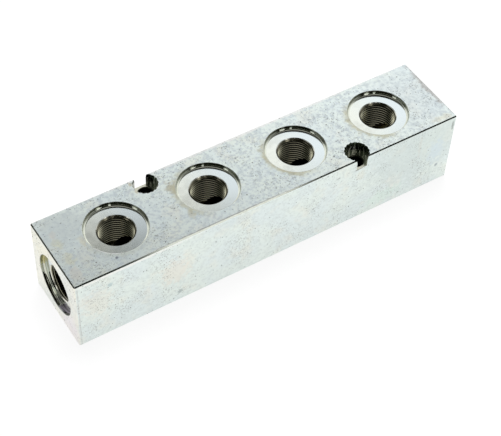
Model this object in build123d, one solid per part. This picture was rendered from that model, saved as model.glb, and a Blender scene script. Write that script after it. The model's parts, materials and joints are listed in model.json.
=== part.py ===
"""Hydraulic manifold block: one square steel bar with a gallery drilled along it.

Four threaded ports open on the top face and one on each end, all meeting the gallery.
Each port has a flat spotface round its mouth, on which a sealing washer seats.
Two counterbored screw holes pass through the bar from top to bottom, at opposite
corners, and each counterbore breaks out through the side face beside it.

Frame: origin at the middle of the bottom face, +X along the bar, +Z up out of the top
ports.  All sizes are in millimetres.
"""

import os
from math import radians, tan

from build123d import *

# Bar
bar_size = 40.0                  # side of the square section
edge_chamfer = 0.5               # on all twelve outside edges

# Row of ports on the top face
port_count = 4
port_pitch = 45.0                # centre to centre along the bar
end_distance = 30.0              # first and last port centre to the nearer end

# Form of every port, made for a G 3/8 pipe thread
spotface_diameter = 28.0
spotface_depth = 2.0
seat_corner_radius = 1.0         # left by the spotface tool between wall and seat
tap_drill_diameter = 15.25       # wall before the thread is cut
mouth_chamfer = 1.0              # 45 degree lead-in at the mouth
thread_depth = 13.0              # full thread in the end ports, from the spotface down
drill_runout = 3.0               # tap drill past that thread; top ports are tapped right down
drill_point_angle = 118.0        # full angle of the drill's point

# Gallery through the whole length, on the section's centre
gallery_diameter = 14.5

# Screw holes, for M6 socket head cap screws
screw_hole_diameter = 6.6
counterbore_diameter = 11.0
counterbore_depth = 6.2
screw_hole_inset = 4.75          # hole centre to the side face beside it
screw_hole_chamfer = 0.4         # at the counterbore's floor

# Worked out from the sizes above
bar_length = (port_count - 1) * port_pitch + 2 * end_distance
port_row = [(index - (port_count - 1) / 2) * port_pitch for index in range(port_count)]
gallery_height = bar_size / 2
top_drill_depth = bar_size - spotface_depth - gallery_height
end_drill_depth = thread_depth + drill_runout
screw_hole_x = port_row[-1] - port_pitch / 2
screw_hole_y = bar_size / 2 - screw_hole_inset
cut_clearance = 1.0              # how far a cutter stands out of the face that it enters


def drill_point_height(diameter):
    """Length of the cone that a drill of this diameter leaves below its full depth."""
    return diameter / 2 / tan(radians(drill_point_angle / 2))


def port_cutter(drill_depth):
    """Everything cut away for one port, as one turned form.

    The face that the port opens on is at Z = 0 and the cutter runs down from it.
    drill_depth is the full-diameter depth of the tap drill below the spotface.
    """
    seat = -spotface_depth
    drill_radius = tap_drill_diameter / 2
    drill_end = seat - drill_depth
    outline = Polyline(
        (0, cut_clearance),
        (spotface_diameter / 2, cut_clearance),
        (spotface_diameter / 2, seat),
        (drill_radius + mouth_chamfer, seat),
        (drill_radius, seat - mouth_chamfer),
        (drill_radius, drill_end),
        (0, drill_end - drill_point_height(tap_drill_diameter)),
        close=True,
    )
    profile = make_face(outline)
    seat_corner = profile.vertices().sort_by_distance((spotface_diameter / 2, seat))[0]
    profile = fillet(seat_corner, seat_corner_radius)
    return revolve(Plane.XZ * profile, Axis.Z)


def screw_hole_cutter():
    """Through hole, deburring chamfer and counterbore, from the top face at Z = 0 down."""
    hole_radius = screw_hole_diameter / 2
    bottom = -bar_size - cut_clearance
    outline = Polyline(
        (0, cut_clearance),
        (counterbore_diameter / 2, cut_clearance),
        (counterbore_diameter / 2, -counterbore_depth),
        (hole_radius + screw_hole_chamfer, -counterbore_depth),
        (hole_radius, -counterbore_depth - screw_hole_chamfer),
        (hole_radius, bottom),
        (0, bottom),
        close=True,
    )
    return revolve(Plane.XZ * make_face(outline), Axis.Z)


def square_bar():
    """The plain bar, standing on Z = 0, with its outside edges broken."""
    bar = Pos(0, 0, bar_size / 2) * Box(bar_length, bar_size, bar_size)
    return chamfer(bar.edges(), edge_chamfer)


def gallery_cutter():
    """The cross gallery, drilled from end to end on the section's centre."""
    length = bar_length + 2 * cut_clearance
    return Pos(0, 0, gallery_height) * Rot(0, 90, 0) * Cylinder(gallery_diameter / 2, length)


def manifold():
    """The finished block, as one solid."""
    block = square_bar() - gallery_cutter()

    top_port = port_cutter(top_drill_depth)
    for port_x in port_row:
        block -= Pos(port_x, 0, bar_size) * top_port

    end_port = port_cutter(end_drill_depth)
    for side in (-1, 1):
        block -= Pos(side * bar_length / 2, 0, gallery_height) * Rot(0, side * 90, 0) * end_port

    screw_hole = screw_hole_cutter()
    for side in (-1, 1):
        block -= Pos(side * screw_hole_x, -side * screw_hole_y, bar_size) * screw_hole
    return block


manifold_block = manifold()
manifold_block.label = "manifold_block"

os.makedirs("parts", exist_ok=True)
export_step(manifold_block, "parts/manifold_block.step")
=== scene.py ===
"""Looks of the hydraulic manifold block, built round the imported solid.

The block is one piece.  Its visible mesh is made here at a finer resolution than the packed
one, from the same sizes.  It adds the real helical thread in each of the six ports, rubbed
rims round the spotfaces and chatter round the counterbores.
"""

import json
from math import atan2, cos, pi, radians, sin, tan

import bmesh
import bpy
from mathutils import Matrix, Vector


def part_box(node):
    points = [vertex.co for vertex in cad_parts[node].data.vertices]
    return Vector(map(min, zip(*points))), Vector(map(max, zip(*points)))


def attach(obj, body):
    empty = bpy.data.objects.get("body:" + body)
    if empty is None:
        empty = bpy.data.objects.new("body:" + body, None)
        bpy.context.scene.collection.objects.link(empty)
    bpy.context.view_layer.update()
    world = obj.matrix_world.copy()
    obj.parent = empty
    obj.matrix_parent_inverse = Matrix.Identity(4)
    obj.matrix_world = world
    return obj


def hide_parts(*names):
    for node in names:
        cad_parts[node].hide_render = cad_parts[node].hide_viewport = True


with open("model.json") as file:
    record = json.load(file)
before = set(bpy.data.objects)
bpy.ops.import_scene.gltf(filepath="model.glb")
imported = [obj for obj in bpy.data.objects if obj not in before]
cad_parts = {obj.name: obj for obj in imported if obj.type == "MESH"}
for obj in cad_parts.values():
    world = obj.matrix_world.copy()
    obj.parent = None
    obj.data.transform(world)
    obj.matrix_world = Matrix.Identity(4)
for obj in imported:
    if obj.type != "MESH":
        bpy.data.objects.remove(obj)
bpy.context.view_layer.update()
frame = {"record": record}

MM = 0.001
NODE = "manifold_block"

# ---------------------------------------------------------------------------------------
# Sizes, in millimetres.  Places come from the frame's box and the record's mounts.
# ---------------------------------------------------------------------------------------

low, high = (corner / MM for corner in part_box(NODE))
LENGTH, WIDTH, HEIGHT = high - low
MOUNTS = {mount["name"]: mount for mount in frame["record"]["mounts"]}
TOP_PORTS = [name for name in MOUNTS if name.startswith("top_port")]
END_PORTS = [name for name in MOUNTS if name.endswith("end_port")]
SCREW_HOLES = [name for name in MOUNTS if name.endswith("screw_hole")]

EDGE_CHAMFER = 0.5
GALLERY_RADIUS = 7.25
GALLERY_HEIGHT = HEIGHT / 2

SPOTFACE_RADIUS = 14.0
SPOTFACE_DEPTH = 2.0
SEAT_CORNER_RADIUS = 1.0
SEAT_CORNER_STEPS = 10
RIM_RADIUS = 0.25                # where the spotface's rim is rubbed round
RIM_STEPS = 4
MOUTH_CHAMFER = 1.0
DRILL_RADIUS = MOUNTS[TOP_PORTS[0]]["dims"]["r_mm"]
DRILL_POINT_ANGLE = 118
DRILL_POINT_SLOPE = tan(radians(DRILL_POINT_ANGLE / 2))
TOP_DRILL_DEPTH = HEIGHT - SPOTFACE_DEPTH - GALLERY_HEIGHT
END_DRILL_DEPTH = MOUNTS[END_PORTS[0]]["dims"]["length_mm"] + MOUTH_CHAMFER

SCREW_HOLE_RADIUS = MOUNTS[SCREW_HOLES[0]]["dims"]["r_mm"]
COUNTERBORE_RADIUS = 5.5
COUNTERBORE_DEPTH = 6.2
SCREW_HOLE_CHAMFER = 0.4
CHATTER_WAVES = 17               # round the counterbore's rim
CHATTER_HEIGHT = 0.3
CHATTER_DEPTH = 2.2              # below the top face, where the waves have died out

# Whitworth thread form of the G 3/8 pipe thread
THREAD_PITCH = 25.4 / 19
THREAD_MAJOR_RADIUS = 8.331
THREAD_ROOT_ROUNDING = 0.137329 * THREAD_PITCH
THREAD_FLANK_ANGLE = radians(27.5)
THREAD_STOP = 1.5                # plain wall left below the thread of a top port
TOP_THREAD_DEPTH = TOP_DRILL_DEPTH - THREAD_STOP
END_THREAD_DEPTH = 13.0
THREAD_RUNOUT = 0.8              # length over which the groove fades out
GROOVE_OVERLAP = 0.2             # how far a groove's lips lie inside the drilled wall

CUT_CLEARANCE = 1.0              # how far a cutter stands out of the face that it enters
RING_STEPS = 128                 # sides of the larger round cuts
HOLE_STEPS = 136                 # sides of the screw holes
THREAD_STEPS = 96                # steps in one turn of the thread

NEARLY = 0.004                   # within this distance, a point is on a face
FACET_SAG = 0.02                 # within this distance, a facet's middle is on a cone
FLAT_FACE = 0.9                  # least part along an axis of the normal of a flat face
SHARP_ANGLE = radians(32)        # the least turn between faces that shows as an edge
CUT_PLACE = "cut_place"          # mesh attribute: the place from the axis of the nearest cut


# ---------------------------------------------------------------------------------------
# Meshes
# ---------------------------------------------------------------------------------------

def mesh_object(name, vertices, faces):
    """A new mesh object with outward faces, linked to the scene."""
    mesh = bpy.data.meshes.new(name)
    mesh.from_pydata(vertices, [], faces)
    shell = bmesh.new()
    shell.from_mesh(mesh)
    bmesh.ops.recalc_face_normals(shell, faces=shell.faces)
    shell.to_mesh(mesh)
    shell.free()
    thing = bpy.data.objects.new(name, mesh)
    bpy.context.scene.collection.objects.link(thing)
    return thing


def turned(name, outline, steps):
    """A closed form of revolution about Z.  The outline runs from pole to pole."""
    (_, first_height), *rings, (_, last_height) = outline
    vertices = [(0, 0, first_height), (0, 0, last_height)]
    for radius, height in rings:
        for step in range(steps):
            angle = 2 * pi * step / steps
            vertices.append((radius * cos(angle), radius * sin(angle), height))
    faces = []
    last_ring = 2 + (len(rings) - 1) * steps
    for step in range(steps):
        after = (step + 1) % steps
        faces.append((0, 2 + step, 2 + after))
        faces.append((1, last_ring + after, last_ring + step))
        for ring in range(len(rings) - 1):
            upper = 2 + ring * steps
            lower = upper + steps
            faces.append((upper + step, lower + step, lower + after, upper + after))
    return mesh_object(name, vertices, faces)


def arc(middle, radius, start, end, steps):
    """Points of an arc about a middle point, from one angle to another."""
    points = []
    for step in range(steps + 1):
        turn = start + (end - start) * step / steps
        points.append((middle[0] + radius * cos(turn), middle[1] + radius * sin(turn)))
    return points


def port_cutter(name, drill_depth):
    """Spotface, mouth chamfer, tap drill and drill point, below a face at Z = 0."""
    drill_end = -SPOTFACE_DEPTH - drill_depth
    rim = (SPOTFACE_RADIUS + RIM_RADIUS, -RIM_RADIUS)
    corner = (SPOTFACE_RADIUS - SEAT_CORNER_RADIUS, SEAT_CORNER_RADIUS - SPOTFACE_DEPTH)
    outline = [
        (0, CUT_CLEARANCE),
        (SPOTFACE_RADIUS + RIM_RADIUS, CUT_CLEARANCE),
        *arc(rim, RIM_RADIUS, pi / 2, pi, RIM_STEPS),
        *arc(corner, SEAT_CORNER_RADIUS, 0, -pi / 2, SEAT_CORNER_STEPS),
        (DRILL_RADIUS + MOUTH_CHAMFER, -SPOTFACE_DEPTH),
        (DRILL_RADIUS, -SPOTFACE_DEPTH - MOUTH_CHAMFER),
        (DRILL_RADIUS, drill_end),
        (0, drill_end - DRILL_RADIUS / DRILL_POINT_SLOPE),
    ]
    return turned(name, outline, RING_STEPS)


def screw_hole_cutter(name):
    """Counterbore, deburring chamfer and through hole, below a face at Z = 0.

    The counterbore's rim is waved, as the tool chattered when it entered.
    """
    bottom = -HEIGHT - CUT_CLEARANCE
    outline = [
        (0, CUT_CLEARANCE),
        (COUNTERBORE_RADIUS, CUT_CLEARANCE),
        (COUNTERBORE_RADIUS, -CHATTER_DEPTH),
        (COUNTERBORE_RADIUS, -COUNTERBORE_DEPTH),
        (SCREW_HOLE_RADIUS + SCREW_HOLE_CHAMFER, -COUNTERBORE_DEPTH),
        (SCREW_HOLE_RADIUS, -COUNTERBORE_DEPTH - SCREW_HOLE_CHAMFER),
        (SCREW_HOLE_RADIUS, bottom),
        (0, bottom),
    ]
    cutter = turned(name, outline, HOLE_STEPS)
    reach = CHATTER_HEIGHT * (CHATTER_DEPTH + CUT_CLEARANCE) / CHATTER_DEPTH
    for vertex in cutter.data.vertices:
        if vertex.co.z > 0 and vertex.co.xy.length > NEARLY:
            wave = abs(sin(atan2(vertex.co.y, vertex.co.x) * CHATTER_WAVES / 2))
            vertex.co.xy *= 1 + reach * wave / COUNTERBORE_RADIUS
    return cutter


def gallery_cutter(name):
    """Plain bore along X through the whole bar."""
    half = LENGTH / 2 + CUT_CLEARANCE
    outline = [(0, half), (GALLERY_RADIUS, half), (GALLERY_RADIUS, -half), (0, -half)]
    cutter = turned(name, outline, RING_STEPS)
    level = Matrix.Rotation(pi / 2, 4, "Y")
    cutter.data.transform(Matrix.Translation((0, 0, GALLERY_HEIGHT)) @ level)
    return cutter


def groove_profile():
    """Points (along the axis, radius) of one thread groove, from its lower to its upper lip.

    The groove is carried a little inside the drilled wall, so that cutter and wall cross.
    """
    centre = THREAD_MAJOR_RADIUS - THREAD_ROOT_ROUNDING
    root = []
    for share in (-1, -0.5, 0, 0.5, 1):
        turn = share * (pi / 2 - THREAD_FLANK_ANGLE)
        along = THREAD_ROOT_ROUNDING * sin(turn)
        root.append((along, centre + THREAD_ROOT_ROUNDING * cos(turn)))
    lip_radius = DRILL_RADIUS - GROOVE_OVERLAP
    lip = root[-1][0] + (root[-1][1] - lip_radius) * tan(THREAD_FLANK_ANGLE)
    return [(-lip, lip_radius), *root, (lip, lip_radius)]


def thread_cutter(name, thread_depth):
    """A tap: closed helical form about Z that cuts the thread's groove below the spotface."""
    top = CUT_CLEARANCE - SPOTFACE_DEPTH
    bottom = -SPOTFACE_DEPTH - thread_depth
    profile = groove_profile()
    count = len(profile)
    core = profile[0][1]
    turns = int((top - bottom) / THREAD_PITCH)
    rows = turns * THREAD_STEPS
    vertices = []
    for row in range(rows + 1):
        angle = 2 * pi * row / THREAD_STEPS
        middle = bottom + THREAD_PITCH * (row / THREAD_STEPS + 0.5)
        depth = min(1, (middle - bottom) / THREAD_RUNOUT)
        for along, radius in profile:
            reach = core + (radius - core) * depth
            vertices.append((reach * cos(angle), reach * sin(angle), middle + along))
    faces = []
    # the groove, from lip to lip
    for row in range(rows):
        for point in range(count - 1):
            here = row * count + point
            faces.append((here, here + 1, here + count + 1, here + count))
    # the core, between the upper lip of one turn and the lower lip of the next
    for row in range(rows - THREAD_STEPS):
        here = row * count + count - 1
        above = (row + THREAD_STEPS) * count
        faces.append((here, above, above + count, here + count))
    # the two ends, each closed as a fan about a point on the axis
    lower_rim = [row * count for row in range(THREAD_STEPS + 1)]
    lower_rim += list(range(count - 1, 0, -1))
    first = (rows - THREAD_STEPS) * count
    upper_rim = [first + step * count + count - 1 for step in range(THREAD_STEPS + 1)]
    upper_rim += list(range(rows * count + count - 2, rows * count - 1, -1))
    for rim, height in ((lower_rim, bottom - THREAD_PITCH), (upper_rim, top + THREAD_PITCH)):
        pole = len(vertices)
        vertices.append((0, 0, height))
        for here, after in zip(rim, rim[1:] + rim[:1]):
            faces.append((pole, here, after))
    return mesh_object(name, vertices, faces)


def bar(name):
    """The plain square bar with its twelve outside edges broken."""
    inner = Vector((LENGTH, WIDTH, HEIGHT)) / 2 - Vector((EDGE_CHAMFER,) * 3)
    shell = bmesh.new()
    for axis in range(3):
        for side in (-1, 1):
            for across in (-1, 1):
                for along in (-1, 1):
                    corner = [0.0] * 3
                    corner[axis] = side * (inner[axis] + EDGE_CHAMFER)
                    corner[(axis + 1) % 3] = across * inner[(axis + 1) % 3]
                    corner[(axis + 2) % 3] = along * inner[(axis + 2) % 3]
                    corner[2] += HEIGHT / 2
                    shell.verts.new(corner)
    bmesh.ops.convex_hull(shell, input=shell.verts)
    bmesh.ops.dissolve_limit(shell, angle_limit=radians(1), verts=shell.verts, edges=shell.edges)
    mesh = bpy.data.meshes.new(name)
    shell.to_mesh(mesh)
    shell.free()
    thing = bpy.data.objects.new(name, mesh)
    bpy.context.scene.collection.objects.link(thing)
    return thing


def port_matrix(name):
    """Places a cutter made below Z = 0 at a port or hole, on the face that it opens on."""
    mount = MOUNTS[name]
    out = Vector(mount["axis"])
    place = Vector(mount["pos_m"]) / MM
    centre = (low + high) / 2
    reach = Vector((LENGTH, WIDTH, HEIGHT)) / 2
    for axis in range(3):
        if abs(out[axis]) > FLAT_FACE:
            place[axis] = centre[axis] + out[axis] * reach[axis]
    turn = out.to_track_quat("Z", "Y").to_matrix().to_4x4()
    return Matrix.Translation(place) @ turn


def copy_at(source, matrix):
    """A copy of an object, with the matrix worked into its mesh."""
    thing = bpy.data.objects.new(source.name, source.data.copy())
    thing.data.transform(matrix)
    bpy.context.scene.collection.objects.link(thing)
    return thing


def carved(block, cutters):
    """The block with every cutter taken away, as one mesh."""
    for cutter in cutters:
        cut = block.modifiers.new(cutter.name, "BOOLEAN")
        cut.operation = "DIFFERENCE"
        cut.solver = "MANIFOLD"
        cut.object = cutter
    bpy.context.view_layer.update()
    shape = block.evaluated_get(bpy.context.evaluated_depsgraph_get())
    mesh = bpy.data.meshes.new_from_object(shape)
    block.modifiers.clear()
    block.data = mesh
    for cutter in cutters:
        bpy.data.objects.remove(cutter)
    return block


def threaded_block():
    """The whole block in millimetres, with its ports, threads, gallery and screw holes."""
    top_port = port_cutter("top_port_cut", TOP_DRILL_DEPTH)
    end_port = port_cutter("end_port_cut", END_DRILL_DEPTH)
    top_thread = thread_cutter("top_thread_cut", TOP_THREAD_DEPTH)
    end_thread = thread_cutter("end_thread_cut", END_THREAD_DEPTH)
    screw_hole = screw_hole_cutter("screw_hole_cut")
    cutters = [gallery_cutter("gallery_cut")]
    patterns = ((TOP_PORTS, top_port, top_thread), (END_PORTS, end_port, end_thread))
    for names, port, thread in patterns:
        for name in names:
            matrix = port_matrix(name)
            cutters.append(copy_at(port, matrix))
            cutters.append(copy_at(thread, matrix))
    for name in SCREW_HOLES:
        cutters.append(copy_at(screw_hole, port_matrix(name)))
    for pattern in (top_port, end_port, top_thread, end_thread, screw_hole):
        bpy.data.objects.remove(pattern)
    return carved(bar("threaded_manifold_block"), cutters)


# ---------------------------------------------------------------------------------------
# Materials
# ---------------------------------------------------------------------------------------

CELLS_PER_BLOTCH = 0.5           # cells of the noise texture that one blotch spans
FRAY_SIZE = 1.1                  # size of the notches in a ragged edge
FRAY_REACH = 0.8                 # share of its reach by which a ragged edge strays at most
PATCH_CORE = 0.35                # share of a patch's reach in which it has its full strength
HAZE_SPREAD = (0.1, 0.8)         # cosines from a haze's side at which it is gone and is full
WAVE_SCALE = 0.314               # scale at which a wave texture repeats every millimetre
TOOL_MARK_PITCH = 0.25           # from one ring of tool marks to the next
DULLED = 0.86                    # colour of dulled blotches, as a share of the clean one
SMOOTH_PLATE = 0.28              # roughness of the plating on the long faces
DULL_PLATE = 0.33                # roughness of the plating on the ends
WALL_TOP_PAINTED_SHADE_DEPTHS = (-1.3, -0.8)  # where the painted shade on a spotface wall's upper part starts and is full
CREST_HIGHLIGHT_DEPTHS = (-3.0, -6.0)    # where the painted highlight on a thread's crests starts to gain and is full
STREAK_DEPTHS = (-1.2, -3.2)     # where the painted highlights on a counterbore's streaks start and are full
STREAK_EDGES = (0.51, 0.57)      # noise at which a streak's painted highlight starts and is full
STREAK_DRAW = 0.1                # share to which a streak's noise is drawn out in depth
MOUTH_LINE_WIDTH = 0.25          # painted highlight: a bright line inside the outer edge of a port's mouth
MOUTH_LINE_FADE = 0.15           # width over which that line fades out
CREST_FOOT = 0.26                # beyond the drilled wall, where a crest's painted highlight starts
CREST_TOP = 0.04                 # beyond the drilled wall, where that painted highlight is full
MOUTH_CREST_HIGHLIGHT = 0.45             # strength of the crests' painted highlight near a port's mouth

# Colours that the metal reflects
CLEAN_TOP = (0.87, 0.94, 0.89)
CLEAN_SIDE = (0.85, 0.93, 0.88)
CLEAN_END = (0.96, 0.95, 0.85)
TOP_BLOOM = (0.48, 0.54, 0.61)
SIDE_BLOOM = (0.58, 0.63, 0.62)
END_BLOOM = (0.62, 0.62, 0.60)
BLUE_BLOTCH = (0.78, 0.87, 0.90)
STRAW_BLOTCH = (0.92, 0.89, 0.76)
SPECKLE = (0.18, 0.18, 0.15)
PIT = (0.07, 0.07, 0.06)
OIL_HAZE = (0.56, 0.52, 0.34)
BROKEN_EDGE = (0.50, 0.52, 0.46)
STRAW_SEAT = (0.74, 0.76, 0.69)
BLUE_SEAT = (0.66, 0.72, 0.73)
# painted shade on the front part of the seats
SEAT_FRONT_PAINTED_SHADE = (0.60, 0.65, 0.64)
BRIGHT_WALL = (0.66, 0.68, 0.58)
# painted shade on the upper part of the spotface walls
WALL_TOP_PAINTED_SHADE = (0.42, 0.43, 0.33)
# painted shade in the mouth chamfers, and a painted highlight round their outer edge
MOUTH_PAINTED_SHADE = (0.30, 0.28, 0.20)
MOUTH_PAINTED_HIGHLIGHT = (0.86, 0.86, 0.76)
# painted shade over the thread, and painted highlights on its crests
THREAD_PAINTED_SHADE = (0.030, 0.028, 0.014)
CREST_PAINTED_HIGHLIGHT = (0.90, 0.87, 0.64)
DRILLED_BORE = (0.24, 0.23, 0.18)
# painted shade on the counterbore walls, and painted highlights on their streaks
COUNTERBORE_PAINTED_SHADE = (0.14, 0.18, 0.12)
STREAK_PAINTED_HIGHLIGHT = (0.98, 1.0, 0.94)
COUNTERBORE_FLOOR = (0.76, 0.75, 0.62)
# painted shade deep in the screw holes
SCREW_HOLE = (0.07, 0.07, 0.05)


def add_node(tree, kind, inputs=None, **settings):
    """A shader node whose inputs are joined to a socket or set to a value."""
    made = tree.nodes.new("ShaderNode" + kind)
    for key, value in settings.items():
        setattr(made, key, value)
    for key, value in (inputs or {}).items():
        if isinstance(value, bpy.types.NodeSocket):
            tree.links.new(value, made.inputs[key])
        elif value is not None:
            made.inputs[key].default_value = value
    return made


def stepped(tree, value, start, end):
    """0 on the start side and 1 on the end side, smooth between them."""
    made = add_node(
        tree, "MapRange", {"Value": value, "From Min": start, "From Max": end},
        interpolation_type="SMOOTHSTEP",
    )
    return made.outputs[0]


def mixed(tree, share, first, second):
    """A colour that runs from the first to the second as the share runs from 0 to 1."""
    made = add_node(tree, "Mix", {0: share, 6: first, 7: second}, data_type="RGBA")
    return made.outputs[2]


class Finish:
    """A metal finish, built up in layers over one even base.

    Places and sizes are in millimetres.  A mask is a socket that runs from 0 to 1.
    """

    def __init__(self, name, colour, roughness):
        self.material = bpy.data.materials.new(name)
        self.material.use_nodes = True
        self.tree = self.material.node_tree
        self.tree.nodes.clear()
        place = add_node(self.tree, "TexCoord").outputs["Object"]
        scaled = add_node(self.tree, "VectorMath", {0: place, "Scale": 1 / MM}, operation="SCALE")
        self.place = scaled.outputs[0]
        self.colour = (*colour, 1)
        self.roughness = roughness
        self.relief = None
        self.ragged = None

    def maths(self, operation, first, second=None, third=None):
        """The outcome of an operation on numbers."""
        made = add_node(self.tree, "Math", {0: first, 1: second, 2: third}, operation=operation)
        return made.outputs[0]

    def vector(self, operation, first, second, output=0):
        """The outcome of an operation on vectors."""
        made = add_node(self.tree, "VectorMath", {0: first, 1: second}, operation=operation)
        return made.outputs[output]

    def step(self, value, start, end):
        """Mask that is 0 on the start side of a value's range and 1 on the end side."""
        return stepped(self.tree, value, start, end)

    def noise(self, size, detail=2.0, place=None):
        """Cloudy noise about 0.5, with blotches of about the size given."""
        scale = CELLS_PER_BLOTCH / size
        inputs = {"Vector": place or self.place, "Scale": scale, "Detail": detail}
        return add_node(self.tree, "TexNoise", inputs).outputs["Fac"]

    def clouds(self, size, start, end, detail=2.0):
        """Mask of blotches, where the noise passes from start to end."""
        return self.step(self.noise(size, detail), start, end)

    def frayed(self, distance, fray=1.0):
        """A distance made uneven, so that the edge of what it bounds is ragged."""
        if self.ragged is None:
            notches = self.noise(FRAY_SIZE, detail=3.0)
            self.ragged = self.maths("MULTIPLY_ADD", notches, 2 * FRAY_REACH, -FRAY_REACH)
        return self.maths("MULTIPLY_ADD", self.ragged, fray, distance)

    def near(self, point, reach, stretch=(1, 1, 1)):
        """Mask of a ragged patch about a point, drawn out along the axes by stretch."""
        offset = self.vector("SUBTRACT", self.place, point)
        offset = self.vector("DIVIDE", offset, [reach * part for part in stretch])
        distance = self.vector("LENGTH", offset, None, "Value")
        return self.step(self.frayed(distance), 1.0, PATCH_CORE)

    def rim_haze(self, middle, radius, reach, side):
        """Mask of a haze just outside a round rim, on the side that a level direction names."""
        offset = self.vector("MULTIPLY", self.vector("SUBTRACT", self.place, middle), (1, 1, 0))
        away = self.vector("LENGTH", offset, None, "Value")
        band = self.step(self.frayed(away, reach), radius + reach, radius)
        facing = self.maths("DIVIDE", self.vector("DOT_PRODUCT", offset, side, "Value"), away)
        return self.maths("MULTIPLY", band, self.step(facing, *HAZE_SPREAD))

    def cut_place(self):
        """Place from the axis and face of the port or hole that the surface belongs to."""
        return add_node(self.tree, "Attribute", attribute_name=CUT_PLACE).outputs["Vector"]

    def cut_part(self, axis):
        """One part of that place: "X", "Y", or "Z", which falls from 0 at the face."""
        return add_node(self.tree, "SeparateXYZ", {0: self.cut_place()}).outputs[axis]

    def from_axis(self):
        """Distance from the axis of that port or hole."""
        across = self.vector("MULTIPLY", self.cut_place(), (1, 1, 0))
        return self.vector("LENGTH", across, None, "Value")

    def cover(self, mask, colour, strength=1.0):
        """Lays a colour over the surface, as far as the mask and the strength go."""
        share = self.maths("MULTIPLY", mask, strength)
        self.colour = mixed(self.tree, share, self.colour, (*colour, 1))

    def roughen(self, mask, amount):
        """Adds an amount to the roughness where the mask is 1."""
        self.roughness = self.maths("MULTIPLY_ADD", mask, amount, self.roughness)

    def lift(self, mask, height):
        """Raises the surface by a height in millimetres where the mask is 1."""
        self.relief = self.maths("MULTIPLY_ADD", mask, height, self.relief or 0.0)

    def made(self):
        """The finished material."""
        inputs = {"Base Color": self.colour, "Metallic": 1.0, "Roughness": self.roughness}
        if self.relief:
            bump = add_node(self.tree, "Bump", {"Distance": MM, "Height": self.relief})
            inputs["Normal"] = bump.outputs[0]
        surface = add_node(self.tree, "BsdfPrincipled", inputs)
        add_node(self.tree, "OutputMaterial", {"Surface": surface.outputs[0]})
        return self.material


TOP = HEIGHT
FRONT = -WIDTH / 2
LEFT = -LENGTH / 2

# Marks in the plating and lines along its edges, some of them painted highlights and painted
# shade
# as noted: middle, reach, stretch along each axis, colour, strength
TOP_STAINS_AND_PAINTED_LIGHT = (
    ((-92.6, 9, TOP), 2.8, (0.8, 1.3, 1), (0.90, 0.80, 0.68), 0.50),
    ((-92.8, 4.3, TOP), 3.2, (0.9, 1.2, 1), (0.90, 0.86, 0.56), 0.50),
    ((-92.2, -5.5, TOP), 3.4, (0.9, 1.5, 1), (0.84, 0.82, 0.62), 0.50),
    ((-93.5, -14, TOP), 3.2, (1, 1.8, 1), (0.88, 0.82, 0.72), 0.45),
    ((-51, 18, TOP), 1.4, (1, 1.2, 1), (0.60, 0.50, 0.32), 0.60),
    ((-50.6, 13, TOP), 1.1, (0.7, 1.4, 1), (0.62, 0.54, 0.36), 0.55),
    ((-83.2, 0.5, TOP), 2.8, (0.8, 1.5, 1), (0.88, 0.82, 0.62), 0.50),
    ((-37, 7.5, TOP), 3.2, (0.9, 1.6, 1), (0.50, 0.44, 0.28), 0.55),
    ((-36.5, -10, TOP), 2.5, (0.8, 1.2, 1), (0.56, 0.51, 0.36), 0.45),
    ((12.5, -12, TOP), 2.4, (1, 0.8, 1), (0.34, 0.34, 0.28), 0.35),
    ((96.6, 2, TOP), 2.4, (1, 8, 1), (0.32, 0.23, 0.17), 0.80),
    ((88, 2, TOP), 26.0, (1, 1.2, 1), (0.70, 0.76, 0.78), 0.50),
    ((91, -17.5, TOP), 3.0, (2.2, 0.8, 1), (0.76, 0.68, 0.46), 0.35),
    # painted highlight along the back edge of the top face
    ((0, 19.3, TOP), 1.2, (75, 1, 1), (0.96, 0.95, 0.92), 0.70),
    ((-75, -14.6, TOP), 0.9, (1, 1, 1), (0.10, 0.12, 0.18), 0.80),
    # painted shade: a dark line along the front edge of the top face
    ((-25, -19.2, TOP), 0.5, (90, 1, 1), (0.46, 0.45, 0.40), 0.70),
    # painted shade: the left end of the top face darker
    ((-86, 12, TOP), 17.0, (1, 0.8, 1), (0.70, 0.76, 0.75), 0.60),
)
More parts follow.
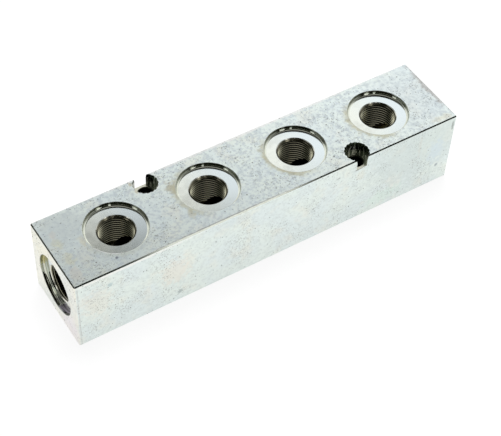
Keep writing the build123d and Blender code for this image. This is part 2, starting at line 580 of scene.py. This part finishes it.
SIDE_STAINS_AND_PAINTED_LIGHT = (
    # painted highlight along the top edge of the front face
    ((-74, FRONT, 38.7), 0.9, (55, 1, 1), (1.0, 1.0, 0.95), 0.80),
    ((-96.3, FRONT, 20), 0.5, (1, 1, 60), (0.60, 0.62, 0.60), 0.60),
    ((-50.5, FRONT, 21), 9.5, (1, 1, 1.1), (0.90, 0.84, 0.73), 0.50),
    ((-88, FRONT, 24), 10.0, (1, 1, 1.2), (0.88, 0.83, 0.72), 0.38),
    ((45, FRONT, 29), 3.6, (0.9, 1, 1.4), (0.86, 0.84, 0.70), 0.35),
    ((78, FRONT, 30), 1.5, (0.8, 1, 6), (0.74, 0.66, 0.56), 0.40),
    # painted shade: the right part of the front face darker
    ((80, FRONT, 30), 36.0, (1.2, 1, 0.8), (0.66, 0.74, 0.71), 0.55),
    ((88, FRONT, 22), 6.0, (1, 1, 1.6), (0.66, 0.78, 0.88), 0.40),
    ((60, FRONT, 7), 8.0, (1.8, 1, 0.7), (0.74, 0.92, 0.82), 0.35),
    ((-20, FRONT, 36), 6.0, (2.0, 1, 0.6), (0.70, 0.78, 0.80), 0.40),
    ((-81.5, FRONT, 32), 1.5, (1, 1, 1.2), (0.46, 0.60, 0.62), 0.60),
    ((-48.5, FRONT, 6), 1.8, (1, 1, 0.9), (0.30, 0.36, 0.36), 0.55),
    ((90, FRONT, 11.6), 1.3, (0.8, 1, 1.3), (0.30, 0.35, 0.38), 0.65),
    ((95.8, FRONT, 34), 2.0, (0.4, 1, 1.8), (0.28, 0.30, 0.28), 0.65),
    ((43.2, FRONT, 33.6), 1.3, (1.9, 1, 0.45), (0.22, 0.24, 0.20), 0.75),
    ((32.5, FRONT, 33.4), 1.4, (1.6, 1, 0.5), (0.34, 0.36, 0.34), 0.50),
)
END_STAINS = (
    ((LEFT, 9, 33), 11.0, (1, 1.2, 1), (0.98, 0.94, 0.74), 0.50),
    ((LEFT, -12, 6), 11.0, (1, 1, 1.2), (0.98, 0.90, 0.96), 0.50),
)

# On the wall of the left end port, a yellow tint high at the back and painted shade low at the
# front: middle, reach, colour
END_WALL_TINT_AND_SHADE = (
    ((LEFT, 13.5, 25), 9.0, (0.42, 0.385, 0.165)),
    ((LEFT, -5, 7.5), 9.0, (0.15, 0.135, 0.155)),
)

# Patches on the rims of the spotfaces, a painted highlight on the near rim of the first port and
# a darker patch on the rim of the third: middle, reach, colour
RIM_HIGHLIGHT_AND_DARK_PATCH = (
    ((-77, -11, TOP), 8.0, (1.0, 1.0, 0.98)),
    ((19, -15, TOP), 6.0, (0.22, 0.21, 0.16)),
)

# Where the dark speckle is thickest: middle, reach, stretch
SPECKLED = (
    ((-90, FRONT, 9), 6.0, (1, 1, 1)),
    ((-68.5, FRONT, 16), 6.0, (1, 1, 1)),
    ((-48, FRONT, 6), 4.0, (1.4, 1, 1)),
    ((14, FRONT, 6), 6.0, (1.6, 1, 0.7)),
    ((92, 2, TOP), 5.0, (1, 3.4, 1)),
    ((-2, -15, TOP), 6.0, (1.6, 0.7, 1)),
    ((-37, 6, TOP), 5.0, (0.7, 1.6, 1)),
)

# Oily haze beside the spotface of each top port: side that it lies on, strength
RIM_HAZES = (
    ((-0.5, -0.86, 0), 0.25),
    ((-1, 0.1, 0), 0.60),
    ((-0.93, -0.36, 0), 0.80),
    ((-0.93, -0.36, 0), 0.75),
)


def plated(name, colour, roughness, stains_and_painted_light, bloom_colour, bloom_strength):
    """Bright zinc plate with a blotched passivated bloom and a fine dark speckle."""
    finish = Finish(name, colour, roughness)
    finish.cover(finish.clouds(size=8.0, start=0.38, end=0.62), BLUE_BLOTCH, strength=0.40)
    finish.cover(finish.clouds(size=5.0, start=0.50, end=0.72), STRAW_BLOTCH, strength=0.35)
    bloom = finish.clouds(size=0.7, start=0.42, end=0.66, detail=3.0)
    finish.cover(bloom, bloom_colour, bloom_strength)
    # stains, with the painted highlights and painted shade listed among them
    for point, reach, stretch, tint, strength in stains_and_painted_light:
        finish.cover(finish.near(point, reach, stretch), tint, strength)
    crowd = finish.clouds(size=6.0, start=0.45, end=0.65)
    for point, reach, stretch in SPECKLED:
        crowd = finish.maths("MAXIMUM", crowd, finish.near(point, reach, stretch))
    dots = finish.clouds(size=0.32, start=0.58, end=0.68, detail=1.0)
    speckle = finish.maths("MULTIPLY", dots, crowd)
    finish.cover(speckle, SPECKLE, strength=0.50)
    pits = finish.clouds(size=0.5, start=0.70, end=0.73, detail=1.0)
    finish.cover(pits, PIT, strength=0.85)
    finish.roughen(bloom, amount=0.08)
    finish.lift(finish.noise(size=0.35), height=0.004)
    finish.lift(speckle, height=-0.01)
    finish.lift(pits, height=-0.03)
    return finish


def plated_top():
    """The plate of the top face, with the haze that oil left beside the ports."""
    finish = plated("plated_top", CLEAN_TOP, SMOOTH_PLATE, TOP_STAINS_AND_PAINTED_LIGHT, TOP_BLOOM, 0.42)
    for name, (side, strength) in zip(TOP_PORTS, RIM_HAZES):
        middle = Vector(MOUNTS[name]["pos_m"]) / MM
        haze = finish.rim_haze(middle, SPOTFACE_RADIUS, reach=3.6, side=side)
        finish.cover(haze, OIL_HAZE, strength)
    return finish


def turned_finish(name, colour, roughness, ring_depth=0.0):
    """Bright cut metal with dulled blotches, and with the fine rings of the tool if asked."""
    finish = Finish(name, colour, roughness)
    if ring_depth:
        scale = WAVE_SCALE / TOOL_MARK_PITCH
        rings = add_node(
            finish.tree, "TexWave",
            {"Vector": finish.cut_place(), "Scale": scale, "Distortion": 0.4, "Detail": 1.0},
            wave_type="RINGS", rings_direction="Z",
        )
        finish.lift(rings.outputs["Fac"], ring_depth)
    blotches = finish.clouds(size=2.5, start=0.40, end=0.70, detail=3.0)
    finish.cover(blotches, [DULLED * part for part in colour])
    return finish


def edge_finish():
    """Broken edges and rubbed rims, with a painted highlight on one rim and a darker patch on
    another.
    """
    finish = turned_finish("broken_edge", BROKEN_EDGE, roughness=0.12)
    # the painted highlight and the darker patch on the rims
    for point, reach, tint in RIM_HIGHLIGHT_AND_DARK_PATCH:
        finish.cover(finish.near(point, reach), tint)
    return finish


def seat_finish():
    """Turned seat, straw on one side and blue on the other, and darker towards the front as
    painted shade.
    """
    finish = turned_finish("turned_seat", STRAW_SEAT, roughness=0.10, ring_depth=0.0012)
    edge = 0.9 * SPOTFACE_RADIUS
    finish.cover(finish.step(finish.cut_part("X"), edge, -edge), BLUE_SEAT)
    # painted shade: the seat darker towards the front
    front = finish.step(finish.cut_part("Y"), 0.3 * SPOTFACE_RADIUS, edge)
    finish.cover(front, SEAT_FRONT_PAINTED_SHADE, strength=0.4)
    return finish


def wall_finish():
    """Mirror-bright wall of the spotfaces, with painted shade near the rim, and a yellow tint and
    painted shade in one end port.
    """
    finish = turned_finish("spotface_wall", BRIGHT_WALL, roughness=0.04)
    finish.cover(finish.step(finish.cut_part("Z"), *WALL_TOP_PAINTED_SHADE_DEPTHS), WALL_TOP_PAINTED_SHADE)
    # the yellow tint and the painted shade in the left end port
    for point, reach, tint in END_WALL_TINT_AND_SHADE:
        finish.cover(finish.near(point, reach), tint)
    return finish


def mouth_finish():
    """Mouth chamfer painted dark as shade, with a painted highlight as a bright line round its
    outer edge.
    """
    finish = turned_finish("port_mouth", MOUTH_PAINTED_SHADE, roughness=0.24)
    inner_side = DRILL_RADIUS + MOUTH_CHAMFER - MOUTH_LINE_WIDTH
    line = finish.step(finish.from_axis(), inner_side - MOUTH_LINE_FADE, inner_side)
    finish.cover(line, MOUTH_PAINTED_HIGHLIGHT, strength=0.9)
    return finish


def thread_finish():
    """Thread painted near black as shade, with painted highlights on the crests, weaker near the
    mouth.
    """
    finish = turned_finish("cut_thread", THREAD_PAINTED_SHADE, roughness=0.20)
    foot = DRILL_RADIUS + CREST_FOOT
    crest = finish.step(finish.from_axis(), foot, DRILL_RADIUS + CREST_TOP)
    deeper = finish.step(finish.cut_part("Z"), *CREST_HIGHLIGHT_DEPTHS)
    crest_highlight_share = finish.maths("MULTIPLY_ADD", deeper, 1 - MOUTH_CREST_HIGHLIGHT, MOUTH_CREST_HIGHLIGHT)
    finish.cover(finish.maths("MULTIPLY", crest, crest_highlight_share), CREST_PAINTED_HIGHLIGHT)
    return finish


def counterbore_finish():
    """Counterbore wall painted dark as shade, dragged along its depth by the tool, with painted
    highlights on the streaks lower down.
    """
    finish = turned_finish("counterbore_wall", COUNTERBORE_PAINTED_SHADE, roughness=0.26)
    drawn_out = finish.vector("MULTIPLY", finish.cut_place(), (1, 1, STREAK_DRAW))
    streak = finish.noise(size=0.5, detail=1.0, place=drawn_out)
    lower_down = finish.step(finish.cut_part("Z"), *STREAK_DEPTHS)
    bright_streak = finish.maths("MULTIPLY", finish.step(streak, *STREAK_EDGES), lower_down)
    finish.cover(bright_streak, STREAK_PAINTED_HIGHLIGHT)
    finish.roughen(bright_streak, amount=0.15)
    finish.lift(streak, height=0.2)
    return finish


def zone_finishes():
    """The finish of every kind of surface on the block, by name."""
    finishes = (
        plated_top(),
        plated("plated_side", CLEAN_SIDE, SMOOTH_PLATE, SIDE_STAINS_AND_PAINTED_LIGHT, SIDE_BLOOM, 0.26),
        plated("plated_end", CLEAN_END, DULL_PLATE, END_STAINS, END_BLOOM, 0.20),
        edge_finish(),
        seat_finish(),
        wall_finish(),
        mouth_finish(),
        thread_finish(),
        turned_finish("drilled_bore", DRILLED_BORE, roughness=0.30, ring_depth=0.002),
        counterbore_finish(),
        turned_finish("counterbore_floor", COUNTERBORE_FLOOR, roughness=0.26, ring_depth=0.001),
        turned_finish("screw_hole_wall", SCREW_HOLE, roughness=0.30),
    )
    return {finish.material.name: finish.made() for finish in finishes}


def port_zone(place, thread_depth):
    """The zone of a point given from a port's axis and face, or None outside the port."""
    distance = place.xy.length
    depth = -place.z
    mouth_edge = DRILL_RADIUS + MOUTH_CHAMFER
    if distance > SPOTFACE_RADIUS + RIM_RADIUS or depth < NEARLY:
        return None
    if depth < RIM_RADIUS:
        return "broken_edge"
    if depth < SPOTFACE_DEPTH - NEARLY:
        return "spotface_wall"
    if depth < SPOTFACE_DEPTH + NEARLY:
        return "turned_seat"
    if distance > THREAD_MAJOR_RADIUS + MOUTH_CHAMFER:
        return None
    if abs(distance - mouth_edge + depth - SPOTFACE_DEPTH) < FACET_SAG:
        return "port_mouth"
    if depth < SPOTFACE_DEPTH + thread_depth:
        return "cut_thread"
    return None


def screw_hole_zone(place):
    """The zone of a point given from a screw hole's axis and top face, or None outside it."""
    distance = place.xy.length
    depth = -place.z
    if distance > COUNTERBORE_RADIUS + CHATTER_HEIGHT or depth < NEARLY:
        return None
    if depth < COUNTERBORE_DEPTH - NEARLY:
        return "counterbore_wall"
    if depth < COUNTERBORE_DEPTH + NEARLY:
        return "counterbore_floor"
    return "screw_hole_wall"


def outer_zone(place, normal):
    """The zone of a point on the outside of the bar, or None inside it."""
    reach = Vector((LENGTH, WIDTH, HEIGHT)) / 2
    offset = place - (low + high) / 2
    gap = min(reach[axis] - abs(offset[axis]) for axis in range(3))
    if gap < NEARLY:
        if abs(normal.x) > FLAT_FACE:
            return "plated_end"
        return "plated_top" if normal.z > FLAT_FACE else "plated_side"
    if gap < EDGE_CHAMFER and max(abs(part) for part in normal) < FLAT_FACE:
        return "plated_end" if abs(normal.z) < NEARLY else "broken_edge"
    return None


def zone_of(face, cuts):
    """The zone of a face, and the matrix that leads to the frame of the cut that made it."""
    zone = outer_zone(face.center, face.normal)
    if zone:
        return zone, Matrix.Identity(4)
    for matrix, zone_at, *sizes in cuts:
        zone = zone_at(matrix @ face.center, *sizes)
        if zone:
            return zone, matrix
    return "drilled_bore", Matrix.Identity(4)


def sharpen(mesh):
    """Shades the mesh smooth, but for the edges at a sharp angle or between two finishes."""
    shell = bmesh.new()
    shell.from_mesh(mesh)
    for edge in shell.edges:
        first, *others = edge.link_faces
        same_finish = all(other.material_index == first.material_index for other in others)
        edge.smooth = same_finish and edge.calc_face_angle(0) < SHARP_ANGLE
    for face in shell.faces:
        face.smooth = True
    shell.to_mesh(mesh)
    shell.free()


def dress(block):
    """Gives each face of the block, in millimetres, the finish of the cut that made it."""
    mesh = block.data
    finishes = zone_finishes()
    mesh.materials.clear()
    for material in finishes.values():
        mesh.materials.append(material)
    slots = {name: slot for slot, name in enumerate(finishes)}
    cuts = [(port_matrix(name).inverted(), port_zone, TOP_THREAD_DEPTH) for name in TOP_PORTS]
    cuts += [(port_matrix(name).inverted(), port_zone, END_THREAD_DEPTH) for name in END_PORTS]
    cuts += [(port_matrix(name).inverted(), screw_hole_zone) for name in SCREW_HOLES]
    places = mesh.attributes.new(CUT_PLACE, "FLOAT_VECTOR", "CORNER")
    for face in mesh.polygons:
        zone, frame_of_cut = zone_of(face, cuts)
        face.material_index = slots[zone]
        for corner in face.loop_indices:
            point = mesh.vertices[mesh.loops[corner].vertex_index].co
            places.data[corner].vector = frame_of_cut @ point
    sharpen(mesh)


block = threaded_block()
dress(block)
block.data.transform(Matrix.Scale(MM, 4))
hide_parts(NODE)
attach(block, "root")


# ---------------------------------------------------------------------------------------
# Studio
# ---------------------------------------------------------------------------------------

def direction(azimuth, elevation):
    """Unit vector; azimuth turns from +X to +Y, in degrees."""
    turn, rise = radians(azimuth), radians(elevation)
    return Vector((cos(turn) * cos(rise), sin(turn) * cos(rise), sin(rise)))


# Colours of the world.  The room is what lies outside its bright parts.
ROOM = (0.075, 0.08, 0.07, 1)
HORIZON = (0.5, 0.5, 0.5, 1)
CAMERA_SIDE = (0.009, 0.0105, 0.006, 1)
CEILING = (0.38, 0.38, 0.38, 1)
SWEEP = (1.22, 1.24, 1.26, 1)
BACKDROP = (1.0, 1.0, 1.0, 1)    # what the camera sees behind the block

# Parts of the room, in degrees
HORIZON_TOP = (2, 12)            # elevations at which the horizon is full and gone
CEILING_EDGE = (62, 74)          # elevations at which the ceiling is gone and full
CAMERA_SIDE_REACH = (247, 50, 72)    # azimuth, and angles from it at which it is full and gone

# Bright parts of the world, all in degrees but the strength: azimuth, with the angles from it
# at which the part is full and gone; elevations at which its upper side is full and gone;
# elevations at which its lower side is gone and full
BRIGHT_PARTS = (
    ((48, 12, 86), (47, 52.8), None, 1.0),            # white sweep behind the block
    ((95, 10, 40), (45.5, 52), None, 0.95),           # the sweep's left wing
    ((128, 25, 55), (46, 51.5), (26, 36), 0.16),      # the left wing's faint end
    ((142, 20, 42), (39, 46), (26, 33), 0.32),        # card on the left
    ((345, 12, 38), None, (32, 44), 0.16),            # the sweep's faint right wing
    ((340, 22, 48), (18, 27), None, 0.32),            # card on the right
)

FLOOR_SIZE = 12                  # in metres
FLOOR_DROP = 0.0001              # below the block, so that the two don't share a plane
FLOOR_GREY = 0.16                # what the floor gives back of the light that falls on it
FLOOR_SEEN = 0.9                 # what it adds to that for the camera
FLOOR_MIRRORED = 0.82            # what it adds to that in reflections

# Lamps: name, place in metres, width and height in metres, power in watts, shows in the metal
LAMPS = (
    ("overhead_lamp", direction(55, 75) * 1.2, (0.6, 0.6), 9, False),
    ("left_lamp", direction(182, 22) * 1.3, (0.36, 0.55), 0.7, True),
    ("near_lamp", direction(256, 28) * 1.2, (0.14, 0.6), 0.3, True),
    ("right_lamp", Vector((0.12, -0.478, 0.115)), (0.15, 0.2), 0.11, True),
    ("upper_lamp", Vector((0.169, -0.438, 0.34)), (0.13, 0.16), 0.085, True),
)

# Camera, in millimetres and degrees
CAMERA_AIM = Vector((-3.677, -5.864, 14.059))
CAMERA_DISTANCE = 610.33
CAMERA_AZIMUTH = -124.390
CAMERA_ELEVATION = 49.334
CAMERA_ROLL = 3.037
FOCAL_LENGTH = 98.02
SENSOR_WIDTH = 36


def chained(tree, operation, values):
    """The outcome of one operation carried through several numbers."""
    made, *others = values
    for other in others:
        made = add_node(tree, "Math", {0: made, 1: other}, operation=operation).outputs[0]
    return made


def floor():
    """Pale floor under the block, white to the eye and in reflections, but for the shadow."""
    bpy.ops.mesh.primitive_plane_add(size=FLOOR_SIZE, location=(0, 0, -FLOOR_DROP))
    plane = bpy.context.object
    plane.name = "floor"
    material = bpy.data.materials.new("pale_floor")
    material.use_nodes = True
    tree = material.node_tree
    tree.nodes.clear()
    rays = add_node(tree, "LightPath").outputs
    mirrored = chained(tree, "MULTIPLY", (rays["Is Glossy Ray"], FLOOR_MIRRORED))
    seen = chained(tree, "MULTIPLY", (rays["Is Camera Ray"], FLOOR_SEEN))
    cover = add_node(tree, "BsdfDiffuse", {"Color": (FLOOR_GREY, FLOOR_GREY, FLOOR_GREY, 1)})
    glow = add_node(tree, "Emission", {"Strength": chained(tree, "MAXIMUM", (mirrored, seen))})
    surface = add_node(tree, "AddShader", {0: cover.outputs[0], 1: glow.outputs[0]})
    add_node(tree, "OutputMaterial", {"Surface": surface.outputs[0]})
    plane.data.materials.append(material)


def studio_world():
    """A white sweep with wings and two cards, a pale ceiling and horizon, and a dim room."""
    world = bpy.data.worlds.new("studio")
    bpy.context.scene.world = world
    world.use_nodes = True
    tree = world.node_tree
    tree.nodes.clear()
    ray = add_node(tree, "TexCoord").outputs["Generated"]
    height = add_node(tree, "SeparateXYZ", {0: ray}).outputs["Z"]
    level = add_node(tree, "VectorMath", {0: ray, 1: (1, 1, 0)}, operation="MULTIPLY").outputs[0]
    level = add_node(tree, "VectorMath", {0: level}, operation="NORMALIZE").outputs[0]

    def above(gone, full):
        return stepped(tree, height, sin(radians(gone)), sin(radians(full)))

    def below(full, gone):
        return stepped(tree, height, sin(radians(gone)), sin(radians(full)))

    def towards(azimuth, full, gone):
        aim = direction(azimuth, 0)
        facing = add_node(tree, "VectorMath", {0: level, 1: aim}, operation="DOT_PRODUCT")
        return stepped(tree, facing.outputs["Value"], cos(radians(gone)), cos(radians(full)))

    room = mixed(tree, below(*HORIZON_TOP), ROOM, HORIZON)
    room = mixed(tree, towards(*CAMERA_SIDE_REACH), room, CAMERA_SIDE)
    room = mixed(tree, above(*CEILING_EDGE), room, CEILING)
    parts = []
    for facing, upper_side, lower_side, strength in BRIGHT_PARTS:
        shares = [towards(*facing)]
        if upper_side:
            shares.append(below(*upper_side))
        if lower_side:
            shares.append(above(*lower_side))
        parts.append(chained(tree, "MULTIPLY", (*shares, strength)))
    colour = mixed(tree, chained(tree, "MAXIMUM", parts), room, SWEEP)
    seen = add_node(tree, "LightPath").outputs["Is Camera Ray"]
    colour = mixed(tree, seen, colour, BACKDROP)
    background = add_node(tree, "Background", {"Color": colour, "Strength": 1.0})
    add_node(tree, "OutputWorld", {"Surface": background.outputs[0]})


def lamp(name, place, size, power, in_reflections):
    """A soft lamp, of the width and height given, that faces the block."""
    light = bpy.data.lights.new(name, "AREA")
    light.shape = "ELLIPSE"
    light.size, light.size_y = size
    light.energy = power
    thing = bpy.data.objects.new(name, light)
    thing.location = place
    thing.rotation_euler = place.to_track_quat("Z", "Y").to_euler()
    thing.visible_glossy = in_reflections
    bpy.context.scene.collection.objects.link(thing)


def camera():
    """Stands at the front left, above the block, and looks a little past its middle."""
    lens = bpy.data.cameras.new("camera")
    lens.sensor_width = SENSOR_WIDTH
    lens.lens = FOCAL_LENGTH
    lens.clip_start = 0.01
    thing = bpy.data.objects.new("camera", lens)
    back = direction(CAMERA_AZIMUTH, CAMERA_ELEVATION)
    roll = Matrix.Rotation(radians(CAMERA_ROLL), 3, "Z").to_quaternion()
    thing.location = (CAMERA_AIM + back * CAMERA_DISTANCE) * MM
    thing.rotation_mode = "QUATERNION"
    thing.rotation_quaternion = back.to_track_quat("Z", "Y") @ roll
    bpy.context.scene.collection.objects.link(thing)
    bpy.context.scene.camera = thing


floor()
studio_world()
for row in LAMPS:
    lamp(*row)
camera()

bpy.context.scene.view_settings.view_transform = "Standard"
